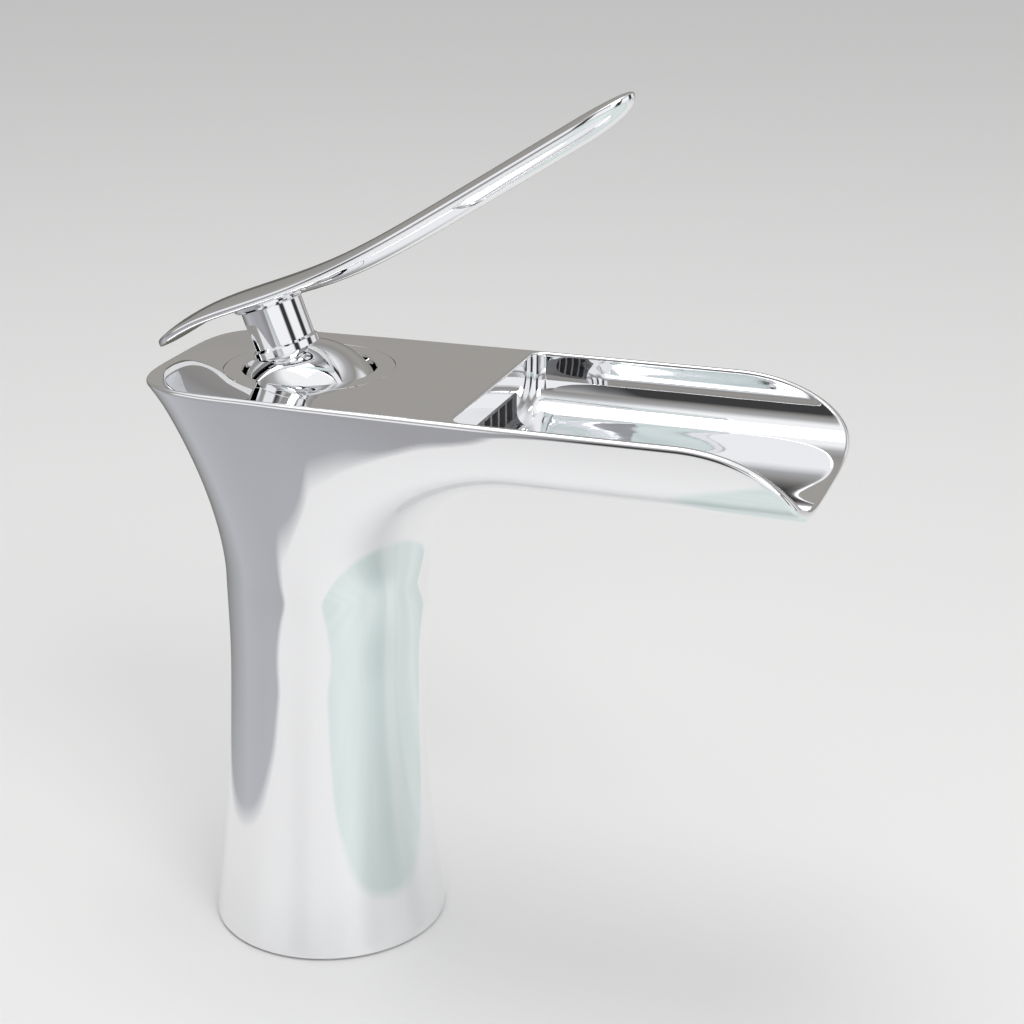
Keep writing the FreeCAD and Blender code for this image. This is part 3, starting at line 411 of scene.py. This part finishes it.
def widened(x, z):
    """Full half width above the neck: column + (spout - column) turn begun, and turn.

    turn = sin(angle about the throat)**2, and begun climbs smoothly from 0 to 1 between
    BLEND_HALF behind the column's centre and as much ahead of it.
    """
    rise = np.maximum(z - NECK, 0.0) / (DECK - NECK)
    column = NECK_RADIUS + (DECK_HALF_WIDTH - NECK_RADIUS) * rise**WIDTH_POWER
    turn = np.sin(np.arctan2(np.maximum(z - NECK, 0.0), np.maximum(THROAT_X - x, 0.0))) ** 2
    centre = NECK_LEAN * (1.0 - rise)
    begun = np.clip((x - centre + BLEND_HALF) / (2 * BLEND_HALF), 0.0, 1.0)
    return column + (SPOUT_HALF_WIDTH - column) * turn * begun**2 * (3.0 - 2.0 * begun), turn


def front_half_width(x, z):
    """Half width ahead of the column's centre, above the neck.

    A superellipse of the distance out from the throat; turn takes its depth and power from
    the column's to the spout's.
    """
    width, turn = widened(x, z)
    out = np.hypot(np.maximum(THROAT_X - x, 0.0), z - NECK) - THROAT_RADIUS
    deep = NECK_RADIUS + (SPOUT_DEPTH - NECK_RADIUS) * turn
    power = 2.0 + (SPOUT_POWER - 2.0) * turn
    return width * superellipse(np.maximum(deep - out, 0.0), deep, power)


def rear_outline(z):
    """Level outline from the widest point round to the rear.

    x = centre - reach sin(t)**(2 / power) and y = width cos(t)**(2 / power).
    """
    centre, reach, width, power = column_form(z)
    turn = np.linspace(0.0, np.pi / 2, OUTLINE_SAMPLES)
    back = reach * np.sin(turn) ** (2.0 / power)
    if z > NECK:
        width = widened(centre - back, z)[0]
    y = width * np.cos(turn) ** (2.0 / power)
    y[-1] = 0.0
    return evenly(np.stack([centre - back, y, z + 0.0 * y], -1), REAR_POINTS)


def fan_outline(angle, reach):
    """Outline in the plane that leaves the throat's centre at the angle, out to reach."""
    heading = np.array([-np.cos(angle), np.sin(angle)])
    share = np.linspace(0.0, 1.0, OUTLINE_SAMPLES) ** 3
    out = THROAT_RADIUS + (reach - THROAT_RADIUS) * share
    x = THROAT_X + heading[0] * out
    z = NECK + heading[1] * out
    y = front_half_width(x, np.maximum(z, NECK + 1e-9))
    y[0] = 0.0
    return evenly(np.stack([x, y, z], -1), FRONT_POINTS)


def u_outline(x, floor, width, top):
    """Half of a U section: y = width * superellipse(depth - (z - floor), depth, power)."""
    rise = (top - floor) * np.linspace(0.0, 1.0, OUTLINE_SAMPLES) ** 4
    y = width * superellipse(np.maximum(SPOUT_DEPTH - rise, 0.0), SPOUT_DEPTH, SPOUT_POWER)
    y[0] = 0.0
    return evenly(np.stack([x + 0.0 * y, y, floor + rise], -1), FRONT_POINTS)


def u_half_width(z, floor, width):
    """Half width of a U surface at level z."""
    rise = np.maximum(z - floor, 0.0)
    return width * superellipse(np.maximum(SPOUT_DEPTH - rise, 0.0), SPOUT_DEPTH, SPOUT_POWER)


def tip_angles(floor, width, rim):
    """Angles down the rounded end that divide a U surface's edge evenly.

    The last lies SHORT_OF_LIP before the lip, where the edge runs straight across.
    """
    lip = np.sin(np.arccos((floor - UNDERSIDE) / (SPOUT_TALL - rim)))
    last = np.arcsin(lip - SHORT_OF_LIP / (TIP_LENGTH - rim))
    angle = last * (1.0 - (1.0 - np.linspace(0.0, 1.0, EDGE_SAMPLES)) ** 2)
    z = UNDERSIDE + (SPOUT_TALL - rim) * np.cos(angle)
    edge = np.stack([TIP_LENGTH * np.sin(angle), u_half_width(z, floor, width), z], -1)
    along = np.concatenate([[0.0], np.cumsum(np.linalg.norm(np.diff(edge, axis=0), axis=1))])
    return np.interp(np.linspace(0.0, along[-1], TIP_ROWS), along, angle)


def tip_edge(floor, width, angle, inset):
    """Edge of a U surface on the end's ellipse shrunk by the inset, at the angles."""
    z = UNDERSIDE + (SPOUT_TALL - inset) * np.cos(angle)
    x = TIP_START + (TIP_LENGTH - inset) * np.sin(angle)
    return np.stack([x, u_half_width(z, floor, width), z], -1)


def lip_corner(row):
    """The points of the last row carried forward onto the end's ellipse."""
    angle = np.arccos(np.clip((row[:, 2] - UNDERSIDE) / SPOUT_TALL, 0.0, 1.0))
    return np.stack([TIP_START + TIP_LENGTH * np.sin(angle), row[:, 1], row[:, 2]], -1)


# the end's quarter ellipse, and the distance along it
end_angle = np.linspace(0.0, np.pi / 2, END_SAMPLES)
end_curve = np.stack([TIP_LENGTH * np.sin(end_angle), SPOUT_TALL * np.cos(end_angle)], -1)
end_along = np.concatenate([[0.0], np.cumsum(np.linalg.norm(np.diff(end_curve, axis=0), axis=1))])


def flattened(points):
    """Deck and rounded end laid flat: (distance forward along the top, y)."""
    angle = np.arccos(np.clip((points[:, 2] - UNDERSIDE) / SPOUT_TALL, 0.0, 1.0))
    forward = TIP_START + np.interp(angle, end_angle, end_along)
    return np.stack([np.where(points[:, 0] > TIP_START, forward, points[:, 0]), points[:, 1]], -1)


def on_top(flat):
    """The reverse of flattened."""
    down = np.maximum(flat[:, 0] - TIP_START, 0.0)
    x = np.where(down > 0, TIP_START + np.interp(down, end_along, end_curve[:, 0]), flat[:, 0])
    z = np.where(down > 0, UNDERSIDE + np.interp(down, end_along, end_curve[:, 1]), DECK)
    return np.stack([x, flat[:, 1], z], -1)


def rounded_rim(below, corner, side, rim):
    """Rows of a round from the wall below over the corner to the top, rim further in.

    A conic between the two, whose middle point is the corner with the weight RIM_WEIGHT.
    side is -1 where the top lies to the right of the corner's line and 1 to the left.
    """
    flat = flattened(corner)
    tangent = np.gradient(flat, axis=0)
    tangent[0] = (0.0, 1.0)
    tangent[-1] = (0.0, -1.0)
    tangent /= np.linalg.norm(tangent, axis=1)[:, None]
    inward = side * np.stack([-tangent[:, 1], tangent[:, 0]], -1)
    inner = flat + rim * inward
    inner[[0, -1], 1] = 0.0
    above = on_top(inner)
    rows = []
    for t in np.linspace(0.0, 1.0, RIM_ROWS):
        weights = (1 - t) ** 2, 2 * RIM_WEIGHT * t * (1 - t), t**2
        total = sum(weights)
        rows.append((weights[0] * below + weights[1] * corner + weights[2] * above) / total)
    return np.array(rows)


# the column in level rows, then rows bent at the column's centre: a fan ahead, level behind
full_rows = []
for z in np.linspace(BASE_LEVEL + FOOT_RIM, NECK, COLUMN_ROWS)[:-1]:
    centre, radius, _, _ = column_form(z)
    turn = np.linspace(0.0, np.pi / 2, FRONT_POINTS)
    front = np.stack([centre + radius * np.cos(turn), radius * np.sin(turn), z + 0 * turn], -1)
    full_rows.append(np.concatenate([front, rear_outline(z)[1:]]))
for z in np.linspace(NECK, TOP, FLARE_ROWS):
    before = THROAT_X - column_form(z)[0]
    fan = fan_outline(np.arctan2(z - NECK, before), np.hypot(before, z - NECK))
    rear = rear_outline(z)
    fan[-1] = rear[0]
    full_rows.append(np.concatenate([fan, rear[1:]]))
column_grid = np.array(full_rows)

# ahead of the column's centre every row ends on the rim
side_x = np.linspace(column_form(TOP)[0], THROAT_X, SIDE_ROWS)
spout_rows = [column_grid[-1, :FRONT_POINTS]]
for x in side_x[1:]:
    reach = np.hypot(THROAT_X - x, TOP - NECK)
    spout_rows.append(fan_outline(np.arctan2(TOP - NECK, THROAT_X - x), reach))
spout_x = np.linspace(THROAT_X, TIP_START, SPOUT_ROWS)[1:]
spout_rows += [u_outline(x, UNDERSIDE, SPOUT_HALF_WIDTH, TOP) for x in spout_x]
outer_angles = tip_angles(UNDERSIDE, SPOUT_HALF_WIDTH, OUTER_RIM)[1:]
outer_tip = tip_edge(UNDERSIDE, SPOUT_HALF_WIDTH, outer_angles, OUTER_RIM)
spout_rows += [u_outline(x, UNDERSIDE, SPOUT_HALF_WIDTH, z) for x, _, z in outer_tip]
spout_grid = np.array(spout_rows)

outer_lip = spout_grid[-1, -2::-1]
outer_below = np.concatenate(
    [column_grid[-1, : FRONT_POINTS - 1 : -1], spout_grid[:, -1], outer_lip]
)
rear_corner = rear_outline(DECK)[:0:-1]
side_deck = DECK + 0 * side_x
side_corner = np.stack([side_x, front_half_width(side_x, side_deck), side_deck], -1)
spout_corner = np.stack([spout_x, SPOUT_HALF_WIDTH + 0 * spout_x, DECK + 0 * spout_x], -1)
spout_corner[:, 1] = side_corner[-1, 1]
tip_corner = tip_edge(UNDERSIDE, SPOUT_HALF_WIDTH, outer_angles, 0.0)
outer_corner = [rear_corner, side_corner, spout_corner, tip_corner, lip_corner(outer_lip)]
outer_rim = rounded_rim(outer_below, np.concatenate(outer_corner), -1, OUTER_RIM)

# the trough: a fillet against its upright back, then the same U less the wall
inner_width = SPOUT_HALF_WIDTH - WALL
section = u_outline(TROUGH_BACK, TROUGH_FLOOR, inner_width, TROUGH_TOP)
along = np.gradient(section[:, 1:], axis=0)
along /= np.linalg.norm(along, axis=1)[:, None]
into = np.stack([0 * along[:, 0], -along[:, 1], along[:, 0]], -1)
into[0] = (0.0, 0.0, 1.0)
into[-1] = (0.0, -1.0, 0.0)
trough_rows = []
for turn in np.radians(np.linspace(90.0, 10.0, CORNER_ROWS)):
    moved = section + into * TROUGH_CORNER * (1.0 - np.cos(turn))
    moved[:, 0] += TROUGH_CORNER * (1.0 - np.sin(turn))
    trough_rows.append(moved)
trough_x = np.linspace(TROUGH_BACK + TROUGH_CORNER, TIP_START, TROUGH_ROWS)
trough_rows += [u_outline(x, TROUGH_FLOOR, inner_width, TROUGH_TOP) for x in trough_x]
inner_angles = tip_angles(TROUGH_FLOOR, inner_width, INNER_RIM)[1:]
inner_tip = tip_edge(TROUGH_FLOOR, inner_width, inner_angles, INNER_RIM)
trough_rows += [u_outline(x, TROUGH_FLOOR, inner_width, z) for x, _, z in inner_tip]
trough_grid = np.array(trough_rows)

back_middle = np.array([[TROUGH_BACK, 0.0, TROUGH_TOP]])
inner_lip = trough_grid[-1, -2::-1]
deck_side = np.concatenate([back_middle, trough_grid[: 1 - TIP_ROWS, -1]])
inner_below = np.concatenate([deck_side, trough_grid[1 - TIP_ROWS :, -1], inner_lip])
inner_corner = [deck_side * (1, 1, 0) + (0, 0, DECK)]
inner_corner += [tip_edge(TROUGH_FLOOR, inner_width, inner_angles, 0.0), lip_corner(inner_lip)]
inner_rim = rounded_rim(inner_below, np.concatenate(inner_corner), 1, INNER_RIM)

# the round at the foot draws the lowest row in by FOOT_RIM (1 - cos t), down by FOOT_RIM sin t
lowest = column_grid[0] * (1, 1, 0)
base_rows = []
for t in np.linspace(0.0, np.pi / 2, FOOT_ROWS):
    drawn = 1.0 - FOOT_RIM * (1.0 - np.cos(t)) / column_form(BASE_LEVEL + FOOT_RIM)[1]
    base_rows.append(lowest * drawn + (0, 0, BASE_LEVEL + FOOT_RIM * (1.0 - np.sin(t))))


def ring_rows(profile, centre_x):
    """Half turns of a profile (radius, z) about an upright axis."""
    turn = np.linspace(0.0, np.pi, FRONT_POINTS + REAR_POINTS - 1)
    return np.array(
        [
            np.stack([centre_x + r * np.cos(turn), r * np.sin(turn), z + 0 * turn], -1)
            for r, z in profile
        ]
    )


def body_mesh():
    """The half body from its grids and flat faces, mirrored in Y = 0, welded and closed."""
    points = []
    faces = []
    flat = []

    def add_grid(grid):
        """A grid of points, with a smooth face between each four."""
        first = sum(len(p) for p in points)
        tall, wide = grid.shape[:2]
        points.append(grid.reshape(-1, 3))
        i, j = np.meshgrid(np.arange(tall - 1), np.arange(wide - 1), indexing="ij")
        corner = (first + i * wide + j).ravel()
        faces.extend(np.stack([corner, corner + 1, corner + wide + 1, corner + wide], -1).tolist())
        flat.extend([False] * len(corner))

    def add_flat(outline):
        """One flat face with the given outline."""
        first = sum(len(p) for p in points)
        points.append(outline)
        faces.append(list(range(first, first + len(outline))))
        flat.append(True)

    bore = ring_rows(BORE, CARTRIDGE_X)
    foot = ring_rows(FOOT, 0.0)
    for grid in (column_grid, spout_grid, outer_rim, trough_grid, inner_rim, bore, foot):
        add_grid(grid)
    add_grid(np.array(base_rows))
    add_grid(np.array([base_rows[-1], foot[0]]))
    ahead_points = TIP_ROWS - 1 + FRONT_POINTS - 1
    on_deck = outer_rim.shape[1] - ahead_points
    in_deck = inner_rim.shape[1] - ahead_points
    add_grid(np.array([outer_rim[-1, on_deck - 1 :], inner_rim[-1, in_deck - 1 :]]))
    add_flat(
        np.concatenate([bore[0, ::-1], inner_rim[-1, :in_deck], outer_rim[-1, on_deck - 1 :: -1]])
    )
    add_flat(np.concatenate([back_middle, trough_grid[0, ::-1]]))

    half = np.concatenate(points) * MM
    both = np.concatenate([half, half * (1.0, -1.0, 1.0)])
    mirrored = [[i + len(half) for i in reversed(face)] for face in faces]
    mesh = bpy.data.meshes.new("body_shell")
    mesh.from_pydata(both.tolist(), [], faces + mirrored)
    mesh.polygons.foreach_set("use_smooth", [not f for f in flat + flat])
    work = bmesh.new()
    work.from_mesh(mesh)
    bmesh.ops.remove_doubles(work, verts=work.verts, dist=1e-6)
    bmesh.ops.dissolve_degenerate(work, edges=work.edges, dist=1e-7)
    bmesh.ops.recalc_face_normals(work, faces=work.faces)
    work.to_mesh(mesh)
    work.free()
    return mesh


body = bpy.data.objects.new("body_shell", body_mesh())
bpy.context.scene.collection.objects.link(body)

# the slot in the trough's back wall, cut by a box
slot_mesh = bpy.data.meshes.new("outlet_slot")
slot_corners = [
    (x * MM, y * MM, z * MM)
    for x in (OUTLET_BACK, OUTLET_FRONT)
    for y in (-OUTLET_HALF_WIDTH, OUTLET_HALF_WIDTH)
    for z in (OUTLET_LOW, OUTLET_HIGH)
]
slot_faces = [
    (0, 1, 3, 2), (4, 6, 7, 5), (0, 4, 5, 1), (2, 3, 7, 6), (0, 2, 6, 4), (1, 5, 7, 3)
]
slot_mesh.from_pydata(slot_corners, [], slot_faces)
cutter = bpy.data.objects.new("outlet_slot", slot_mesh)
bpy.context.scene.collection.objects.link(cutter)
cut = body.modifiers.new("outlet", "BOOLEAN")
cut.operation = "DIFFERENCE"
cut.solver = "EXACT"
cut.object = cutter
cut_mesh = bpy.data.meshes.new_from_object(
    body.evaluated_get(bpy.context.evaluated_depsgraph_get())
)
body.modifiers.clear()
body.data = cut_mesh
bpy.data.objects.remove(cutter)
body.data.set_sharp_from_angle(angle=SHARP_EDGE)
body.data.materials.clear()
body.data.materials.append(chrome)
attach(body, "tap")
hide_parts("tap_body")


# ---- outlet --------------------------------------------------------------------------
# A black moulded flow former, pushed into the slot in the trough's back wall. Its ribs
# even out the flow over the whole width.

insert = finish("insert_plastic", 0.0, (0.080, 0.080, 0.085), 1200.0, 0.37, 0.53, 3000.0, 0.00002)
coat(insert, "outlet_insert")


# ---- cartridge -----------------------------------------------------------------------
# A moulded housing with its floor, seals, and a fixed ceramic disc under a sliding one,
# held down in its bore by a brass nut. The turntable carries the lever's axis on a pin.

moulded = finish("cartridge_plastic", 0.0, (0.85, 0.86, 0.87), 900.0, 0.24, 0.36, 2600.0, 0.00001)
ceramic = finish("disc_ceramic", 0.0, (0.93, 0.92, 0.90), 700.0, 0.08, 0.16, 2600.0, 0.000002)
coat(moulded, "cartridge_housing", "cartridge_floor", "turntable", "disc_carrier")
coat(ceramic, "fixed_disc", "moving_disc")
coat(rubber, "port_seals", "disc_seal")
coat(brass, "cartridge_nut")
coat(zinc, "pivot_pin")


# ---- ring, ball and stem -------------------------------------------------------------
# Turned and chrome-plated like the body: the ring screwed in flush with the deck, the
# ball that turns in it, and the stem on the ball, locked by a screw on its brass arm.

coat(chrome, "bezel_ring", "ball_cap", "lever_stem")
coat(brass, "spindle")
coat(zinc, "set_screw")


# ---- lever blade ---------------------------------------------------------------------
# The long cast and chrome-plated lever on the stem's top: wide and thin there, narrower
# and deeper in front, with a soft upright rim, a tip that rises and a rear that droops.

REAR, TIP = -25.0, 85.1
REAR_ROUND, REAR_SHAPE = 9.0, 2.3
TIP_ROUND, TIP_SHAPE = 12.0, 2.0
FRONT_HALF_WIDTH = 6.6
REAR_WIDER = 4.0
NARROWS_AT, NARROWS_OVER = 20.0, 14.0
LEVEL = 25.7
RISE, RISES_AT, RISE_SOFT = 0.218, 17.0, 7.0
DROOP, DROOPS_AT, DROOP_SOFT = 0.3, -14.0, 3.0
CROWN = 0.9
BELLY_REAR, BELLY_FRONT = 0.4, 2.3
DEEPENS_AT, DEEPENS_OVER = 9.0, 7.0
RIM_HALF = 0.75
RIM_POWER = 48
RIM_FADE, ARCH_FADE = 0.5, 0.8
AROUND = 160
REAR_ROWS, MIDDLE_ROWS, END_ROWS = 32, 180, 36
LEVER_PIVOT = (-1.0, 0.0, 112.0)
LEANT_BACK = np.radians(20.0)


def softplus(x, soft):
    """soft ln(1 + exp(x / soft)): 0 far below zero, x far above it."""
    return soft * np.logaddexp(0.0, x / soft)


def blade_surface(x, around):
    """Points of the blade at stations x and angles around its section.

    s = cos(around) runs across. The half width falls from the rear's to the front's as a
    tanh about NARROWS_AT, and a superellipse closes it at each end. The rim's level rises
    as RISE softplus(x - RISES_AT) and droops as DROOP softplus(DROOPS_AT - x). Above and
    below it the surface stands off by (RIM_HALF + arch (1 - s**2)) sqrt(1 - |s|**RIM_POWER),
    which rounds the rim; arch is the crown above and a belly that deepens forward below,
    and both it and the rim grow thin towards the ends.
    """
    x, around = np.meshgrid(x, around, indexing="ij")
    rear_from, tip_from = REAR + REAR_ROUND, TIP - TIP_ROUND
    ends = np.where(x < rear_from, superellipse(rear_from - x, REAR_ROUND, REAR_SHAPE), 1.0)
    ends *= np.where(x > tip_from, superellipse(x - TIP + TIP_ROUND, TIP_ROUND, TIP_SHAPE), 1.0)
    wider = REAR_WIDER * (1.0 - np.tanh((x - NARROWS_AT) / NARROWS_OVER)) / 2.0
    width = (FRONT_HALF_WIDTH + wider) * ends
    level = LEVEL + RISE * softplus(x - RISES_AT, RISE_SOFT)
    level -= DROOP * softplus(DROOPS_AT - x, DROOP_SOFT)
    s = np.cos(around)
    belly = BELLY_REAR + BELLY_FRONT / (1.0 + np.exp((DEEPENS_AT - x) / DEEPENS_OVER))
    arch = np.where(np.sin(around) >= 0, CROWN, belly) * ends**ARCH_FADE
    off = RIM_HALF * ends**RIM_FADE + arch * (1.0 - s**2)
    off *= np.sqrt(np.maximum(1.0 - np.abs(s) ** RIM_POWER, 0.0))
    return np.stack([x, width * s, level + np.sign(np.sin(around)) * off], -1)


rear_part = REAR + REAR_ROUND * (1.0 - np.cos(np.linspace(0.0, np.pi / 2, REAR_ROWS)))
tip_part = TIP - TIP_ROUND * (1.0 - np.cos(np.linspace(np.pi / 2, 0.0, END_ROWS)))
middle_part = np.linspace(rear_part[-1], tip_part[0], MIDDLE_ROWS)[1:-1]
grid = blade_surface(
    np.concatenate([rear_part, middle_part, tip_part]),
    np.linspace(0.0, 2.0 * np.pi, AROUND + 1)[:-1],
)
lean = np.array(
    [[np.cos(LEANT_BACK), 0.0, np.sin(LEANT_BACK)], [0.0, 1.0, 0.0],
     [-np.sin(LEANT_BACK), 0.0, np.cos(LEANT_BACK)]]
)
placed = (grid.reshape(-1, 3) @ lean + LEVER_PIVOT) * MM
tall, wide = grid.shape[:2]
i, j = np.meshgrid(np.arange(tall - 1), np.arange(wide), indexing="ij")
here, there = i * wide + j, i * wide + (j + 1) % wide
quads = np.stack([here, there, there + wide, here + wide], -1).reshape(-1, 4)
blade_mesh = bpy.data.meshes.new("lever_blade_skin")
blade_mesh.from_pydata(placed.tolist(), [], quads.tolist())
work = bmesh.new()
work.from_mesh(blade_mesh)
bmesh.ops.remove_doubles(work, verts=work.verts, dist=2e-6)
bmesh.ops.dissolve_degenerate(work, edges=work.edges, dist=1e-7)
bmesh.ops.recalc_face_normals(work, faces=work.faces)
work.to_mesh(blade_mesh)
work.free()
blade_mesh.shade_smooth()
blade_mesh.materials.append(chrome)
blade = bpy.data.objects.new("lever_blade_skin", blade_mesh)
bpy.context.scene.collection.objects.link(blade)
coat(chrome, "lever_blade")
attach(blade, "handle")
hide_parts("lever_blade")
